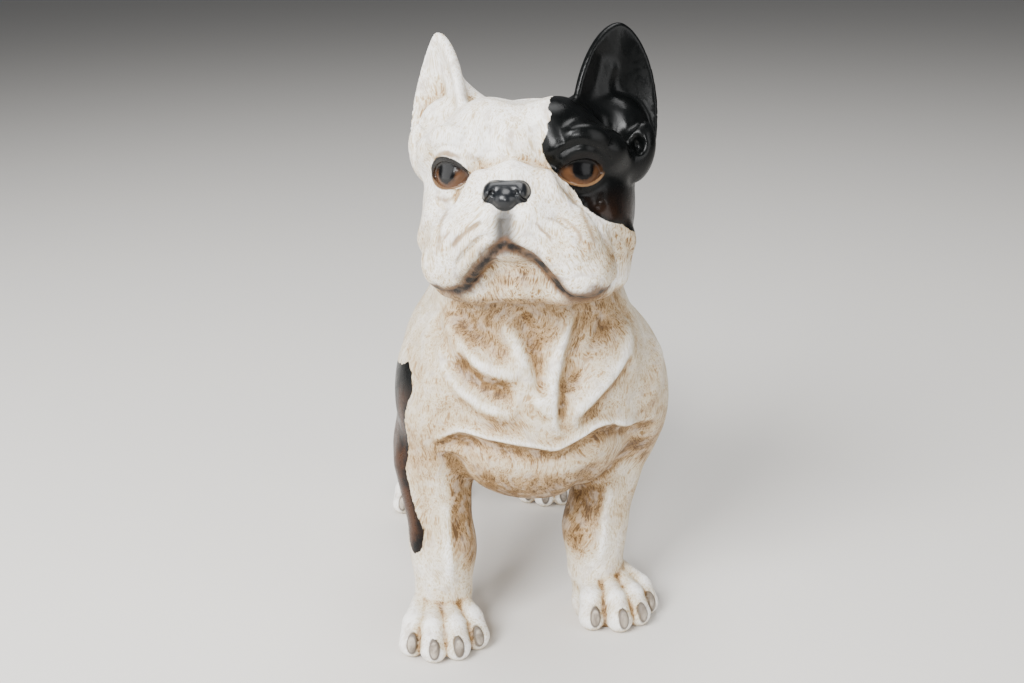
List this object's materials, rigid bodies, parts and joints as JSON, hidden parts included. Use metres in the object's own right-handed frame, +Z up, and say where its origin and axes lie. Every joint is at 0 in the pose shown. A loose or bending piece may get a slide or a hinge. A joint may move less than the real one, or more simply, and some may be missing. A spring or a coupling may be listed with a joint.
{
  "type": "bulldog garden statue",
  "caption": "Standing French bulldog statue with bat ears, head turned aside, cast in resin and painted white with black patches, resting on its flat paws.",
  "frame": {"origin": "on the ground, at the centre of the bottom of the statue's outline box", "axes": "+Z up; the dog faces -Y, and +X is the dog's left"},
  "size_m": [0.1842, 0.3274, 0.38],
  "materials": {
    "painted_resin": "matt hand-painted resin, white brushed over tan, with glossy black patches, nose and eyes"
  },
  "bodies": {
    "root": {"bulldog": "painted_resin"}
  },
  "joints": []
}
